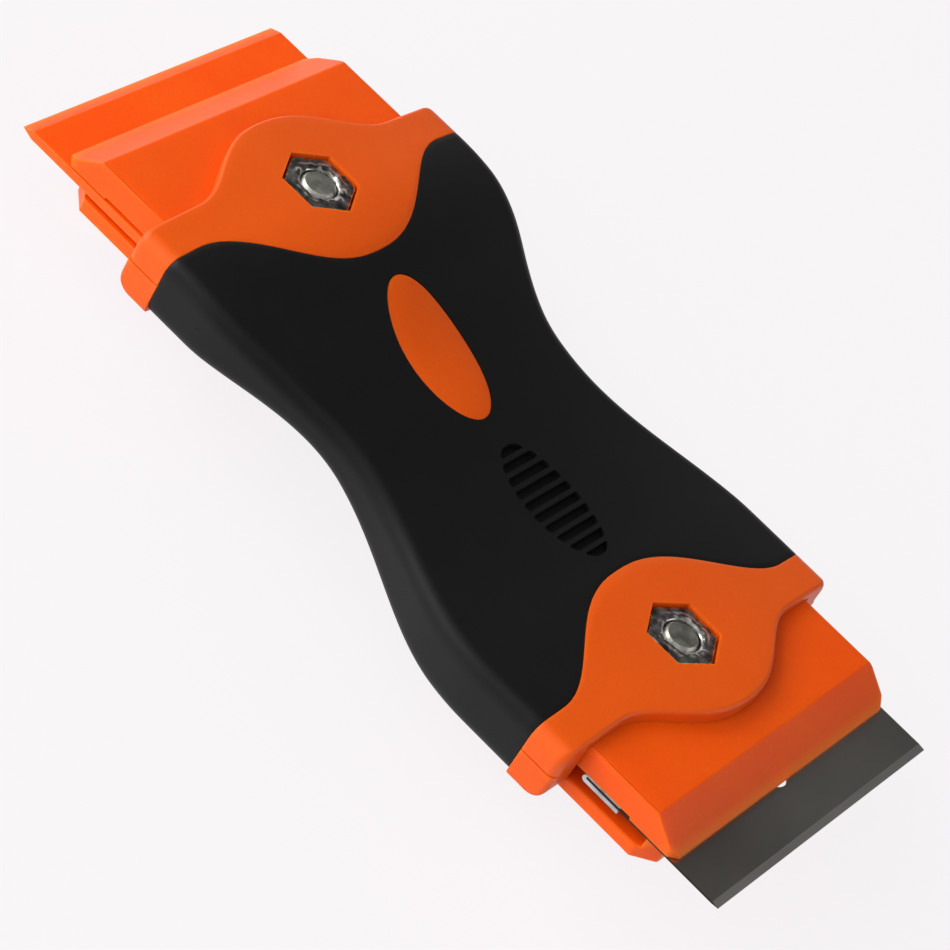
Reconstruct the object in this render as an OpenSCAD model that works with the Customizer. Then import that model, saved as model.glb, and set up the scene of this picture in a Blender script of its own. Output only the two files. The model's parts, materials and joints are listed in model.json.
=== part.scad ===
// Double-ended razor scraper: a bow-tie handle with a clamp for a plastic blade at one end
// and for a single-edge steel blade at the other. Everything is drawn square to the blades,
// x along the tool and z out of the nut side, and then laid on its two knobs.

/* [Handle] */
// Distance between the two clamp screws, along the blades
end_span = 58.9; // [57:0.1:64]
// Drop from the plastic end to the steel end
end_drop = 9.48; // [6:0.02:11]
// Distance from the middle to the middle of the top's bend, towards the plastic end
top_bend = 10.1; // [0:0.1:11]
// Flat of the top between the plastic end's screw and the bend
top_flat_plastic = 1.55; // [0.4:0.05:4]
// Flat of the top between the steel end's screw and the bend
top_flat_steel = 10.25; // [4:0.05:14]
// Distance from the middle to the middle of the underside's bend, towards the plastic end
under_bend = 1.6; // [0:0.1:4]
// Flat of the underside behind each screw, on average
under_flat = 10.65; // [4:0.05:13]
// Width of each ear beside a jaw
ear_w = 3.9; // [3.5:0.05:5]
// Half width at the waist
waist_half_w = 18.3; // [14:0.05:20]
// Shift of the waist towards the plastic end
waist_shift = 3.7; // [0:0.1:4]
// Length of the flare on the plastic side of the waist
plastic_flare = 19.8; // [16:0.1:23]
// Length of the flare on the steel side of the waist
steel_flare = 25.7; // [18:0.1:28]
// Thickness at both ends
end_thick = 8.75; // [8.4:0.05:9.2]
// Height of the crown across the top, at the ends
top_crown = 0.95; // [0.2:0.05:1.1]
// Extra height of the crown at the waist
waist_dome = -0.4; // [-0.6:0.05:0.8]
// Height of the crown across the underside
under_crown = 0.3; // [0:0.1:0.8]
// Radius of the long edges
edge_r = 1.8; // [1.7:0.1:2.4]
// Radius at the foot of each end of the lower shell
ear_r = 2; // [0.5:0.1:3]
// Radius along the foot of the lower shell's ears
ear_edge_r = 0.6; // [0.5:0.05:1.2]
// Radius of the upright corners of the ears
ear_corner_r = 1; // [0.4:0.05:1.6]
// Step from the grip in to the lower shell's ears
ear_inset = 0; // [0:0.05:0.4]
// Reach of the shell past the screw, beside the bulge
shoulder = 3.75; // [3:0.05:5]
// Reach of the bulge past the screw, at its middle
bulge = 9.45; // [8:0.05:11]
// Fullness of the wavy borders
border_full = 1.22; // [1:0.01:1.4]
// Half length of the bulge across the tool
bulge_run = 15.2; // [13:0.1:18]
// Length of each pin that joins the shells
pin_h = 1.4; // [0.8:0.1:1.6]
// Radius of each pin that joins the shells
pin_r = 1.5; // [1:0.1:2]
// Distance from the shell screws in to the joining pins, along the tool
pin_step = 2.5; // [1:0.1:6]
// Distance of the joining pins from the centre line
pin_y = 11; // [8:0.5:12]
// Radius of the screws that hold the shells together
fix_r = 1.25; // [1:0.05:1.5]
// Length of those screws under the head
fix_l = 3.2; // [2.8:0.1:3.4]
// Radius of their heads
fix_head_r = 2.4; // [2:0.1:2.8]
// Height of their heads
fix_head_h = 1.3; // [1:0.1:1.5]
// Depth of their heads below the grip
fix_sink = 0.6; // [0.3:0.1:0.8]
// Wall between those screws and the space for the jaws
fix_wall = 0.7; // [0.6:0.1:2]
// Width of the cross slots in their heads
fix_slot = 0.6; // [0.4:0.1:0.8]

/* [Grip] */
// Thickness of the soft grip over the shell
grip_t = 1.2; // [0.8:0.1:1.5]
// Distance from the screw back to the grip, at the sides
grip_side = 0.7; // [0.4:0.05:2]
// Distance from the screw back to the grip, on the centre line
grip_back = 9.4; // [8:0.1:11]
// Half length of the grip's scoop across the tool
grip_run = 19.5; // [17:0.1:22]
// Length of the oval window, as a share of the grip between its scoops
window_share = 0.414; // [0.3:0.002:0.44]
// Width of the oval window
window_w = 9; // [5:0.1:11]
// Distance of the window from the middle, towards the plastic end, as a share of the same
window_x_share = 0.2218; // [0.21:0.0002:0.24]
// Rise of the oval pad above the grip around it
pad_rise = 0.15; // [0:0.05:0.3]
// Number of slots across the grip
slot_n = 10; // [6:1:12]
// Spacing of the slots, as a share of the grip between its scoops
slot_pitch_share = 0.0384; // [0.032:0.0002:0.04]
// Width of one slot, as a share of the spacing
slot_w_share = 0.65; // [0.35:0.002:0.7]
// Length of the longest slot
slot_l = 7.5; // [4:0.1:10]
// Length of the oval that the slots fill, as a share of their number times their spacing
slot_oval_share = 0.98; // [0.96:0.005:1.1]
// Radius of the corners of the slots
slot_round = 0.3; // [0.1:0.05:0.4]
// Depth of the slots
slot_depth = 0.7; // [0.3:0.05:0.8]
// Distance of the slots from the middle, towards the steel end, as a share of the grip between its scoops
slot_x_share = 0.2569; // [0.25:0.0001:0.27]
// Diameter of the moulding mark on the flank
mark_d = 0.8; // [0.4:0.1:1.2]
// Depth of the moulding mark
mark_depth = 0.5; // [0.2:0.1:0.8]
// Distance from the plastic end's screw back to the moulding mark
mark_back = 6.85; // [5:0.05:10]

/* [Jaws] */
// Half width of both jaws
jaw_half_w = 19.7; // [19.5:0.05:20]
// Thickness of the shell over the jaw
roof_t = 1.75; // [1.4:0.05:2]
// Flat top of the upper jaw past the screw
jaw_flat = 13.1; // [12:0.1:14]
// Nose of the upper jaw past the screw
jaw_nose = 17.2; // [16.6:0.1:18]
// Depth of the upper jaw's clamping face below the shell's top
jaw_face = 5.15; // [5.1:0.05:5.5]
// Height of the upper jaw's nose above its clamping face
nose_lip = 0.4; // [0.3:0.05:0.8]
// Length of the upper jaw's clamping face
face_l = 6.2; // [4:0.1:6.4]
// Step behind the clamping face
face_step = 0.28; // [0.26:0.01:0.5]
// Height of the upper jaw's shoulders above its low tail
tail_step = 1; // [0.8:0.05:1.4]
// Distance from the screw out to the rise of the upper jaw
tail_x = 0.8; // [0.3:0.1:1.5]
// Length of both jaws behind the screw
jaw_back = 8.2; // [6:0.1:9]
// Radius along the upper jaw's sides
jaw_edge_r = 0.5; // [0.3:0.1:1.2]
// Corner cut at the upper jaw's nose, in plan
nose_cut = 1.0; // [0.4:0.1:2]
// Depth of the screw boss under the upper jaw
boss_h = 0.9; // [0.5:0.1:1.1]
// Radius of the screw boss
boss_r = 4.2; // [3.6:0.1:4.3]
// Depth of the lower jaw's inner side below the shell's top
low_top = 7; // [6.8:0.05:7.2]
// Thickness of the lower jaw
low_t = 1.65; // [1.2:0.05:2]
// Front of the lower jaw past the screw
low_front = 15.4; // [14:0.1:16]
// Length of the lower jaw's lip
lip_l = 1.9; // [1:0.1:2.6]
// Length of the lower jaw's heel
heel_l = 1.8; // [1:0.1:2.4]
// Corner cut of the lower jaw, along the tool
low_cut_l = 2.3; // [1:0.1:3]
// Corner cut of the lower jaw, across the tool
low_cut_w = 2.1; // [0.6:0.1:2]

/* [Blades] */
// Reach of the plastic blade past each side of its jaws
plastic_proud = 0.1; // [0.05:0.01:0.25]
// Edge of the plastic blade past the screw
plastic_edge = 22.95; // [21:0.05:24]
// Distance from the screw to the back of the plastic blade
plastic_back = 4.8; // [4.7:0.05:6]
// Thickness of the plastic blade
plastic_t = 1.05; // [0.9:0.05:1.3]
// Length of the plastic blade's bevel
plastic_bevel = 1.35; // [0.8:0.05:2]
// Blunt edge left on the plastic blade
plastic_land = 0.1; // [0.05:0.05:0.3]
// Step from each side of the jaws in to the steel blade's side
steel_inset = 0.2; // [0.1:0.01:0.6]
// Edge of the steel blade past the screw
steel_edge = 23.25; // [22:0.05:24]
// Distance from the screw to the back of the steel blade's spine
steel_back = 4.7; // [4.6:0.05:5.2]
// Thickness of the steel blade
steel_t = 0.26; // [0.2:0.01:0.35]
// Length of the ground bevel
steel_bevel = 0.85; // [0.5:0.05:1.4]
// Land left at the ground edge
steel_land = 0.04; // [0.02:0.01:0.06]
// Radius of the hole in the steel blade
hole_r = 1.5; // [1:0.05:1.7]
// Distance of the hole from the cutting edge
hole_back = 7.25; // [7:0.05:8]
// Depth of the folded spine
spine_l = 5; // [4:0.1:5.4]
// Thickness of the folded spine
spine_t = 1; // [0.8:0.02:1.04]
// Offset of the spine below the middle of the blade
spine_drop = 0.16; // [0.12:0.01:0.2]

/* [Clamp hardware] */
// Radius of the screw thread
screw_r = 2; // [1.8:0.05:2.05]
// Screw pitch
screw_pitch = 0.7; // [0.5:0.05:0.8]
// Distance across the flats of the nut and of the screw head
nut_flats = 7.3; // [6.6:0.1:7.4]
// Thickness of the nut
nut_t = 3.2; // [2.2:0.1:3.3]
// Depth of the nut's top below the shell
nut_sink = 0.35; // [0.3:0.05:0.8]
// Depth of the screw's end below the shell
screw_sink = 0.3; // [0.2:0.05:0.9]
// Distance across the flats of the nut pocket
pocket_flats = 7.8; // [7.5:0.05:8.2]
// Radius of the washer
washer_r = 4.5; // [4:0.1:5]
// Thickness of the washer
washer_t = 0.8; // [0.5:0.1:1]
// Height of the screw head
head_h = 2.8; // [2.4:0.1:3]
// Depth of the screw head inside the knob
head_sink = 0.8; // [0.4:0.1:1.2]
// Radius of the knob
knob_r = 9; // [8:0.1:10]
// Height of the knob
knob_h = 7; // [6.6:0.1:8]
// Radius of the knob's collar
collar_r = 5.2; // [4.9:0.1:6]
// Height of the knob's collar
collar_h = 1; // [0.6:0.1:1.6]
// Height of the slope from the collar to the rim
slope_h = 1.4; // [0.8:0.1:2]
// Chamfer around the knob's face
knob_cham = 0.7; // [0.3:0.1:1]
// Number of finger scallops around the knob
scallop_n = 10; // [6:1:12]
// Radius of one scallop
scallop_r = 2.4; // [1.6:0.1:3]
// Depth of one scallop
scallop_depth = 1; // [0.4:0.1:1.3]

/* [Clearances] */
// Gap between the bonded grip and the shell
bond_gap = 0.03; // [0.02:0.01:0.06]
// Gap around each jaw in the handle
jaw_gap = 0.4; // [0.2:0.05:0.45]
// Gap between flat faces that slide
slide_gap = 0.03; // [0.01:0.01:0.05]
// Gap around the screw in the nut and in the knob
thread_gap = 0.05; // [0.02:0.01:0.1]
// Gap around the screw in the jaws and the washer
screw_gap = 0.25; // [0.15:0.05:0.4]
// Gap around the nut's head side and the joining pins
seat_gap = 0.05; // [0.03:0.01:0.1]

/* [Hidden] */

round_n = 48;
half_span = end_span / 2;
end_half_w = jaw_half_w + jaw_gap + ear_w;
top_run_plastic = half_span - top_flat_plastic - top_bend;
top_run_steel = half_span - top_flat_steel + top_bend;
under_run = half_span - under_flat;
plastic_half_w = jaw_half_w + plastic_proud;
steel_half_w = jaw_half_w - steel_inset;
fix_x = half_span - jaw_back - jaw_gap - fix_head_r - screw_gap - fix_wall;
pin_x = fix_x - pin_step;
mark_x = half_span - mark_back;
grip_l = 2 * (half_span - grip_back);
window_l = grip_l * window_share;
window_x = grip_l * window_x_share;
slot_pitch = grip_l * slot_pitch_share;
slot_w = slot_pitch * slot_w_share;
slot_x = grip_l * slot_x_share;
lean = atan(end_drop / end_span);
reach = half_span + bulge;
over = end_thick;
tall = end_drop + end_thick * 3;
stations = 36;
border_n = 40;
arc_angles = [0, 22.5, 45, 67.5, 90];
corner_angles = [22.5, 45, 67.5, 90];
slot_steps = [0, 0.05, 0.15, 0.3, 0.5, 0.7, 0.85, 0.95, 1];
crown_shares = [-0.6, -0.3, 0, 0.3, 0.6];
// The seam runs at this share of the thickness
seam_share = 0.52;
mark_share = 0.54;
fix_face_share = 0.8;

// A smooth hump that is one at its middle and zero past one run
function bell(u) = abs(u) < 1 ? (1 + cos(180 * u)) / 2 : 0;
function hump(u) = bell(pow(abs(u), border_full));
function waist(x) = (x + waist_shift) / (x < -waist_shift ? plastic_flare : steel_flare);
function half_w(x) = end_half_w - (end_half_w - waist_half_w) * bell(waist(x));
// Falls smoothly from one to minus one over a bend
function fall(u) = cos(90 * (1 + min(1, max(-1, u))));
function bend(x) = (x + top_bend) / (x < -top_bend ? top_run_plastic : top_run_steel);
function crown(x) = top_crown + waist_dome * bell(waist(x));
function top_z(x) = end_drop / 2 * fall(bend(x)) - top_crown + crown(x);
function under_z(x) = end_drop / 2 * fall((x + under_bend) / under_run) - end_thick;
function thick(x) = top_z(x) - under_z(x);
function seam_z(x) = top_z(x) - thick(x) * seam_share;

// One side of a cross-section, from the flank up and over the crown, as [y, height]
function arch(w, rim, crown, r) = concat(
    [for (a = arc_angles) [-w + r * (1 - cos(a)), rim - crown - r * (1 - sin(a))]],
    [for (k = crown_shares) [k * (w - r), rim - crown * k * k]],
    [for (i = [len(arc_angles) - 1 : -1 : 0])
        [w - r * (1 - cos(arc_angles[i])), rim - crown - r * (1 - sin(arc_angles[i]))]]);

// Half of the handle's skin, up for the upper half, pulled in by inset and run past the seam by skirt
module half_skin(up, inset, skirt, edge = edge_r) {
    ring_n = 2 * len(arc_angles) + len(crown_shares) + 2;
    r = edge - inset;
    xs = [for (i = [0 : stations]) (reach + edge_r) * (2 * i / stations - 1)];
    points = [for (x = xs)
        let (w = half_w(x) - inset)
        let (rise = up ? seam_z(x) - under_z(x) : top_z(x) - seam_z(x))
        let (rim = up ? top_z(x) - inset : -under_z(x) - inset)
        let (foot = up ? seam_z(x) - skirt : -seam_z(x) - skirt)
        let (line = arch(w, rim, up ? crown(x) : under_crown, r))
        for (p = concat([[-w, foot]], line, [[w, foot]])) [x, p[0], up ? p[1] : -p[1]]];
    sides = [for (i = [0 : stations - 1]) for (j = [0 : ring_n - 1])
        let (a = i * ring_n + j)
        let (b = i * ring_n + (j + 1) % ring_n)
        for (f = [[a, b, b + ring_n], [a, b + ring_n, a + ring_n]]) up ? f : [f[2], f[1], f[0]]];
    near = [for (j = [ring_n - 1 : -1 : 0]) j];
    far = [for (j = [0 : ring_n - 1]) stations * ring_n + j];
    caps = up ? [near, far] : [[for (j = [0 : ring_n - 1]) j], [for (j = [ring_n - 1 : -1 : 0]) stations * ring_n + j]];
    polyhedron(points = points, faces = concat(sides, caps), convexity = 6);
}

// A plan cut that runs through the whole height
module through() {
    translate([0, 0, -tall]) linear_extrude(2 * tall) children();
}

// Set back of the ears' front towards their rounded corners, at y
function corner_cut(y) = let (d = min(1, max(0, abs(y) - end_half_w + ear_corner_r) / ear_corner_r))
    ear_corner_r * (1 - sqrt(1 - d * d));

// Plan of the handle, with the bulge over each jaw
module handle_plan() {
    side = end_half_w + over;
    flat = end_half_w - ear_corner_r;
    turn = [for (a = corner_angles) flat + ear_corner_r * sin(a)];
    half = concat([for (i = [1 : border_n]) flat * i / border_n], turn, [side]);
    ys = concat([for (i = [len(half) - 1 : -1 : 0]) -half[i]], [0], half);
    front = [for (y = ys) [half_span + shoulder + (bulge - shoulder) * hump(y / bulge_run) - corner_cut(y), y]];
    polygon(concat(front, [for (i = [len(front) - 1 : -1 : 0]) [-front[i][0], front[i][1]]]));
}

// Plan of the soft grip, pulled in by gap at the two scoops
module grip_plan(gap) {
    side = end_half_w + over;
    ys = [for (i = [-border_n : border_n]) side * i / border_n];
    line = [for (y = ys) [half_span - grip_side - gap - (grip_back - grip_side) * hump(y / grip_run), y]];
    polygon(concat(line, [for (i = [len(line) - 1 : -1 : 0]) [-line[i][0], line[i][1]]]));
}

module window_plan(gap) {
    translate([-window_x, 0]) scale([window_l / 2 - gap, window_w / 2 - gap]) circle(1, $fn = round_n);
}

// Puts an end's piece, drawn outwards along x from its screw, at the plastic or the steel end
module at_end(side) {
    translate([side * half_span, 0, -side * end_drop / 2]) mirror([side < 0 ? 1 : 0, 0, 0]) children();
}

// Lays the tool down so that both knobs touch the table
knob_low = low_top + low_t + washer_t + knob_h + 2 * slide_gap;
rest_z = knob_low * cos(lean) + (knob_r - knob_cham) * sin(lean);
plastic_low = jaw_face + slide_gap + plastic_t;
steel_mid = jaw_face + slide_gap + steel_t / 2;
far_steel = (half_span + steel_edge) * cos(lean) + (end_drop / 2 + steel_mid + steel_land / 2) * sin(lean);
plastic_mid = plastic_low - plastic_t / 2;
far_plastic = (half_span + plastic_edge) * cos(lean) + (end_drop / 2 - plastic_mid + plastic_land / 2) * sin(lean);
module laid() {
    translate([(far_plastic - far_steel) / 2, 0, rest_z]) rotate([0, -lean, 0]) children();
}

module hexagon(flats, h) {
    cylinder(r = flats / sqrt(3), h = h, $fn = 6);
}

// Space for both jaws in one end of the handle, lower behind the screw
module jaw_room() {
    w = jaw_half_w + jaw_gap;
    back = jaw_back + jaw_gap;
    rise = tail_x - jaw_gap;
    translate([-back, -w, -tall]) cube([back + bulge + over, 2 * w, tall - roof_t - tail_step]);
    translate([rise, -w, -tall]) cube([bulge + over, 2 * w, tall - roof_t]);
}

module nut_pocket(floor_z) {
    translate([0, 0, -floor_z]) hexagon(pocket_flats, floor_z + over);
}

module pins(r, h) {
    for (x = [-pin_x, pin_x]) for (y = [-pin_y, pin_y])
        translate([x, y, seam_z(x) - pin_h]) cylinder(r = r, h = pin_h + h, $fn = round_n);
}

module upper_shell() {
    color("#DE5216") difference() {
        union() {
            difference() {
                intersection() {
                    half_skin(true, 0, 0);
                    through() handle_plan();
                }
                difference() {
                    through() grip_plan(0);
                    half_skin(true, grip_t, over);
                }
            }
            intersection() {
                half_skin(true, -pad_rise, 0);
                through() window_plan(bond_gap);
            }
        }
        for (side = [-1, 1]) at_end(side) {
            jaw_room();
            nut_pocket(jaw_face);
        }
        pins(pin_r + seat_gap, pin_h + seat_gap);
        at_fixings() cylinder(r = fix_r + bond_gap, h = fix_l + seat_gap, $fn = round_n);
    }
}

module lower_shell() {
    color("#E35A1A") {
        difference() {
            intersection() {
                half_skin(false, ear_inset, 0, ear_edge_r);
                through() handle_plan();
            }
            difference() {
                through() grip_plan(0);
                half_skin(false, grip_t, over);
            }
            for (side = [-1, 1]) at_end(side) {
                jaw_room();
                ear_round();
            }
            at_fixings() {
                translate([0, 0, -over]) cylinder(r = fix_head_r + screw_gap, h = over, $fn = round_n);
                cylinder(r = fix_r + bond_gap, h = over, $fn = round_n);
            }
        }
        pins(pin_r, pin_h);
    }
}

// Puts a fixing at each shell screw, at the seat of its head
module at_fixings() {
    for (x = [-fix_x, fix_x]) translate([x, 0, under_z(x) + fix_sink + fix_head_h + slide_gap]) children();
}

// Two cross-head screws that hold the shells together from below
module shell_screws() {
    color("#8C8C88") at_fixings() translate([0, 0, -slide_gap]) difference() {
        union() {
            rotate_extrude($fn = round_n) polygon([[0, 0], [fix_head_r, 0],
                [fix_head_r, -fix_head_h / 2], [fix_head_r * fix_face_share, -fix_head_h], [0, -fix_head_h]]);
            cylinder(r = fix_r, h = fix_l, $fn = round_n);
        }
        for (turn = [0, 90]) rotate([0, 0, turn]) translate([-fix_head_r, -fix_slot / 2, -fix_head_h - over])
            cube([2 * fix_head_r, fix_slot, over + fix_head_h / 2]);
    }
}

// Rounds the foot of the two ears beside a jaw
module ear_round() {
    side = end_half_w + over;
    translate([shoulder - ear_r, -side, -end_thick + ear_r]) rotate([-90, 0, 0]) linear_extrude(2 * side)
        difference() {
            square(2 * ear_r);
            circle(ear_r, $fn = round_n);
        }
}

module upper_grip() {
    color("#1D1D1D") difference() {
        intersection() {
            half_skin(true, 0, 0);
            through() grip_plan(bond_gap);
        }
        half_skin(true, grip_t - bond_gap, over);
        through() window_plan(0);
        slots();
    }
}

// Half length at x of the slots' oval, and the same rounded off towards the sides of a slot d away
function slot_end(x) = slot_l / 2 * sqrt(max(0, 1 - pow(2 * x / (slot_n * slot_pitch * slot_oval_share), 2)));
function slot_reach(x, d) = let (far = 1 - min(1, d / slot_round))
    slot_end(x) - slot_round * (1 - sqrt(1 - far * far));

// Slots across the grip, that fill an oval between them
module slots() {
    for (i = [0 : slot_n - 1]) {
        mid = (i - (slot_n - 1) / 2) * slot_pitch;
        line = [for (t = slot_steps) let (x = mid + (t - 1 / 2) * slot_w) [x, slot_reach(x, slot_w * min(t, 1 - t))]];
        translate([slot_x, 0, top_z(slot_x + mid) - slot_depth]) linear_extrude(over)
            polygon(concat([for (p = line) [p[0], -p[1]]], [for (k = [len(line) - 1 : -1 : 0]) line[k]]));
    }
}

module lower_grip() {
    color("#1D1D1D") difference() {
        intersection() {
            half_skin(false, 0, 0);
            through() grip_plan(bond_gap);
        }
        half_skin(false, grip_t - bond_gap, over);
        for (side = [-1, 1]) at_end(side) jaw_room();
        at_fixings() translate([0, 0, -over]) cylinder(r = fix_head_r + screw_gap, h = over, $fn = round_n);
        translate([-mark_x, -half_w(-mark_x) + mark_depth, top_z(-mark_x) - thick(-mark_x) * mark_share])
            rotate([90, 0, 0]) cylinder(d = mark_d, h = over, $fn = round_n);
    }
}

// Upper jaw: a wedge-nosed block under the shell, with the nut's pocket in it
module upper_jaw() {
    top = -roof_t - slide_gap;
    relief = -jaw_face + face_step;
    side_view = [[-jaw_back, top - tail_step], [tail_x, top - tail_step], [tail_x, top], [jaw_flat, top],
        [jaw_nose, -jaw_face + nose_lip], [jaw_nose, -jaw_face], [jaw_nose - face_l, -jaw_face],
        [jaw_nose - face_l, relief], [-jaw_back, relief]];
    color("#E8501A") difference() {
        intersection() {
            translate([0, jaw_half_w, 0]) rotate([90, 0, 0]) linear_extrude(2 * jaw_half_w) polygon(side_view);
            jaw_section(top);
            through() polygon([[-jaw_back, -jaw_half_w], [jaw_nose - nose_cut, -jaw_half_w],
                [jaw_nose, -jaw_half_w + nose_cut], [jaw_nose, jaw_half_w - nose_cut],
                [jaw_nose - nose_cut, jaw_half_w], [-jaw_back, jaw_half_w]]);
        }
        jaw_bore();
    }
    color("#E8501A") difference() {
        translate([0, 0, relief - boss_h]) cylinder(r = boss_r, h = boss_h, $fn = round_n);
        jaw_bore();
    }
}

// Section of the upper jaw across the tool, with its long top edges rounded
module jaw_section(top) {
    w = jaw_half_w - jaw_edge_r;
    translate([-jaw_back, 0, 0]) rotate([90, 0, 90]) linear_extrude(jaw_back + jaw_nose) {
        translate([-w, -tall]) square([2 * w, tall + top]);
        translate([-jaw_half_w, -tall]) square([2 * jaw_half_w, tall + top - jaw_edge_r]);
        for (y = [-w, w]) translate([y, top - jaw_edge_r]) circle(jaw_edge_r, $fn = round_n);
    }
}

// The nut's seat and the screw's hole in the upper jaw
module jaw_bore() {
    translate([0, 0, -nut_sink - nut_t - slide_gap]) hexagon(pocket_flats, over);
    translate([0, 0, -tall]) cylinder(r = screw_r + screw_gap, h = tall, $fn = round_n);
}

// Lower jaw: a plate with a lip that bears on the blade and a heel that bears on the upper jaw
module lower_jaw(lip_z) {
    low = -low_top - low_t;
    heel_z = -jaw_face + face_step - slide_gap;
    side_view = [[-jaw_back, low], [low_front, low], [low_front, -lip_z], [low_front - lip_l, -lip_z],
        [low_front - lip_l, -low_top], [-jaw_back + heel_l, -low_top], [-jaw_back + heel_l, heel_z],
        [-jaw_back, heel_z]];
    color("#F06A22") difference() {
        intersection() {
            translate([0, jaw_half_w, 0]) rotate([90, 0, 0]) linear_extrude(2 * jaw_half_w) polygon(side_view);
            through() polygon([[-jaw_back, -jaw_half_w], [low_front - low_cut_l, -jaw_half_w],
                [low_front, -jaw_half_w + low_cut_w], [low_front, jaw_half_w - low_cut_w],
                [low_front - low_cut_l, jaw_half_w], [-jaw_back, jaw_half_w]]);
        }
        translate([0, 0, -tall]) cylinder(r = screw_r + screw_gap, h = 2 * tall, $fn = round_n);
    }
}

module plastic_blade() {
    top = -jaw_face - slide_gap;
    color("#FA5610") translate([0, plastic_half_w, 0]) rotate([90, 0, 0]) linear_extrude(2 * plastic_half_w)
        polygon([[plastic_back, top], [plastic_edge - plastic_bevel, top],
            [plastic_edge, top - plastic_t / 2 + plastic_land / 2],
            [plastic_edge, top - plastic_t / 2 - plastic_land / 2],
            [plastic_edge - plastic_bevel, top - plastic_t], [plastic_back, top - plastic_t]]);
}

module steel_blade() {
    top = -steel_mid + steel_t / 2;
    low = -steel_mid - steel_t / 2;
    back = steel_back + spine_t / 2;
    color("#55554F") difference() {
        translate([0, steel_half_w, 0]) rotate([90, 0, 0]) linear_extrude(2 * steel_half_w)
            polygon([[back, top], [steel_edge - steel_bevel, top],
                [steel_edge, -steel_mid + steel_land / 2], [steel_edge, -steel_mid - steel_land / 2],
                [steel_edge - steel_bevel, low], [back, low]]);
        translate([steel_edge - hole_back, 0, -tall]) cylinder(r = hole_r, h = tall, $fn = round_n);
    }
}

// The folded strip along the steel blade's back
module steel_blade_spine() {
    slit = steel_t + 2 * slide_gap;
    color("#C9C9CC") translate([0, steel_half_w, -steel_mid]) rotate([90, 0, 0])
        linear_extrude(2 * steel_half_w) difference() {
            translate([steel_back + spine_t / 2, -spine_drop]) {
                circle(spine_t / 2, $fn = round_n);
                translate([0, -spine_t / 2]) square([spine_l - spine_t / 2, spine_t]);
            }
            translate([steel_back + spine_t / 2 - slide_gap, -slit / 2]) square([spine_l, slit]);
        }
}

module nut() {
    corner_r = nut_flats / sqrt(3);
    cham = corner_r - nut_flats / 2;
    color("#B9B8B2") translate([0, 0, -nut_sink - nut_t]) difference() {
        intersection() {
            hexagon(nut_flats, nut_t);
            rotate_extrude($fn = round_n) polygon([[0, 0], [nut_flats / 2, 0], [corner_r, cham / 2],
                [corner_r, nut_t - cham / 2], [nut_flats / 2, nut_t], [0, nut_t]]);
        }
        translate([0, 0, -nut_t]) cylinder(r = screw_r + thread_gap, h = 3 * nut_t, $fn = round_n);
    }
}

// Clamp screw: its head sits in the knob and its end shows in the nut
module screw() {
    face = -knob_low + head_sink;
    tip = screw_pitch / 2;
    color("#A9A8A2") {
        translate([0, 0, face]) intersection() {
            hexagon(nut_flats, head_h);
            rotate_extrude($fn = round_n) polygon([[0, 0], [nut_flats / 2, 0],
                [nut_flats / sqrt(3), tip], [nut_flats / sqrt(3), head_h], [0, head_h]]);
        }
        rotate_extrude($fn = round_n) polygon([[0, face + head_h / 2], [screw_r, face + head_h / 2],
            [screw_r, -screw_sink - tip], [screw_r - tip, -screw_sink], [0, -screw_sink]]);
    }
}

module washer() {
    color("#C4C3BE") translate([0, 0, -low_top - low_t - slide_gap - washer_t]) difference() {
        cylinder(r = washer_r, h = washer_t, $fn = round_n);
        translate([0, 0, -washer_t]) cylinder(r = screw_r + screw_gap, h = 3 * washer_t, $fn = round_n);
    }
}

// Scalloped thumb knob around the screw head
module knob() {
    top = -knob_low + knob_h;
    face = -knob_low;
    color("#262626") difference() {
        rotate_extrude($fn = round_n) polygon([[0, face], [knob_r - knob_cham, face],
            [knob_r, face + knob_cham], [knob_r, top - collar_h - slope_h], [collar_r, top - collar_h],
            [collar_r, top], [0, top]]);
        for (i = [0 : scallop_n - 1]) rotate([0, 0, (i + 1 / 2) * 360 / scallop_n])
            translate([knob_r + scallop_r - scallop_depth, 0, face - over])
                cylinder(r = scallop_r, h = knob_h + 2 * over, $fn = round_n);
        translate([0, 0, face - over]) hexagon(nut_flats + 2 * seat_gap, over + head_sink + head_h + seat_gap);
        translate([0, 0, face]) cylinder(r = screw_r + thread_gap, h = 2 * knob_h, $fn = round_n);
    }
}

laid() upper_shell();
laid() lower_shell();
laid() shell_screws();
laid() upper_grip();
laid() lower_grip();
laid() at_end(-1) upper_jaw();  // plastic_end_upper_jaw
laid() at_end(-1) lower_jaw(plastic_low + slide_gap);  // plastic_end_lower_jaw
laid() at_end(-1) nut();  // plastic_end_nut
laid() at_end(-1) screw();  // plastic_end_screw
laid() at_end(-1) washer();  // plastic_end_washer
laid() at_end(-1) knob();  // plastic_end_knob
laid() at_end(-1) plastic_blade();
laid() at_end(1) upper_jaw();  // steel_end_upper_jaw
laid() at_end(1) lower_jaw(steel_mid + steel_t / 2 + slide_gap);  // steel_end_lower_jaw
laid() at_end(1) nut();  // steel_end_nut
laid() at_end(1) screw();  // steel_end_screw
laid() at_end(1) washer();  // steel_end_washer
laid() at_end(1) knob();  // steel_end_knob
laid() at_end(1) steel_blade();
laid() at_end(1) steel_blade_spine();
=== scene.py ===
import bpy, bmesh, json, math
from mathutils import Matrix, Vector, noise

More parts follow.
